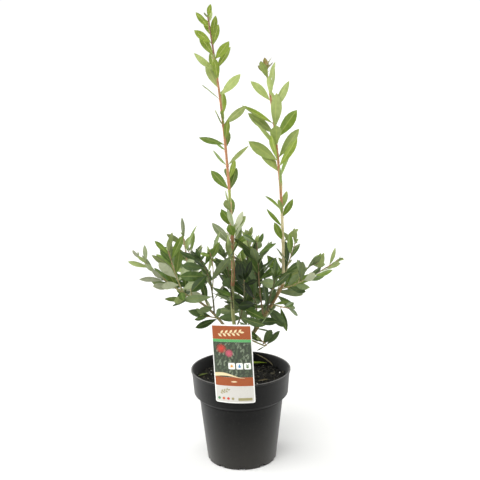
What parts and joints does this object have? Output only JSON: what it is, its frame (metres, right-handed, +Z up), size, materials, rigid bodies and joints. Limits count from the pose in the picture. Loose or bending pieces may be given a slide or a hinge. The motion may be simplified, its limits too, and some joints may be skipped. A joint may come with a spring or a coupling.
{
  "type": "potted bottlebrush shrub",
  "caption": "Young bottlebrush shrub in a black plastic nursery pot: tall leafy upright shoots over a spreading leafy base, with a picture label hanging at the front.",
  "frame": {"origin": "centre of the pot's flat underside", "axes": "+Z up along the plant, -Y towards whoever reads the label, +X to the reader's right"},
  "size_m": [0.3697, 0.252, 0.8069],
  "materials": {
    "pot_plastic": "black recycled polypropylene, satin, thin walls",
    "potting_mix": "moist bark-based potting mix with small chips",
    "label_card": null,
    "bark": "thin young bark, grey-brown low down and orange-brown above",
    "foliage": "narrow leathery evergreen leaves, yellow-green when young"
  },
  "bodies": {
    "root": {"pot": "pot_plastic", "potting_mix": "potting_mix", "label_panel": "label_card", "label_loop": "label_card", "trunk": "bark", "left_limb": "bark", "right_limb": "bark", "low_left_limb": "bark", "back_limb": "bark", "tall_shoot_left": "foliage", "tall_shoot_right": "foliage", "left_spur": "foliage", "right_outer": "foliage", "right_low": "foliage", "right_lowest": "foliage", "middle_shoot": "foliage", "back_shoot": "foliage", "left_outer": "foliage", "left_upright": "foliage", "left_back": "foliage", "left_near": "foliage", "left_lowest": "foliage", "front_mid": "foliage", "front_right": "foliage", "inner_right": "foliage", "left_inner": "foliage", "centre_shoot": "foliage", "back_mid": "foliage", "back_right": "foliage"}
  },
  "joints": []
}
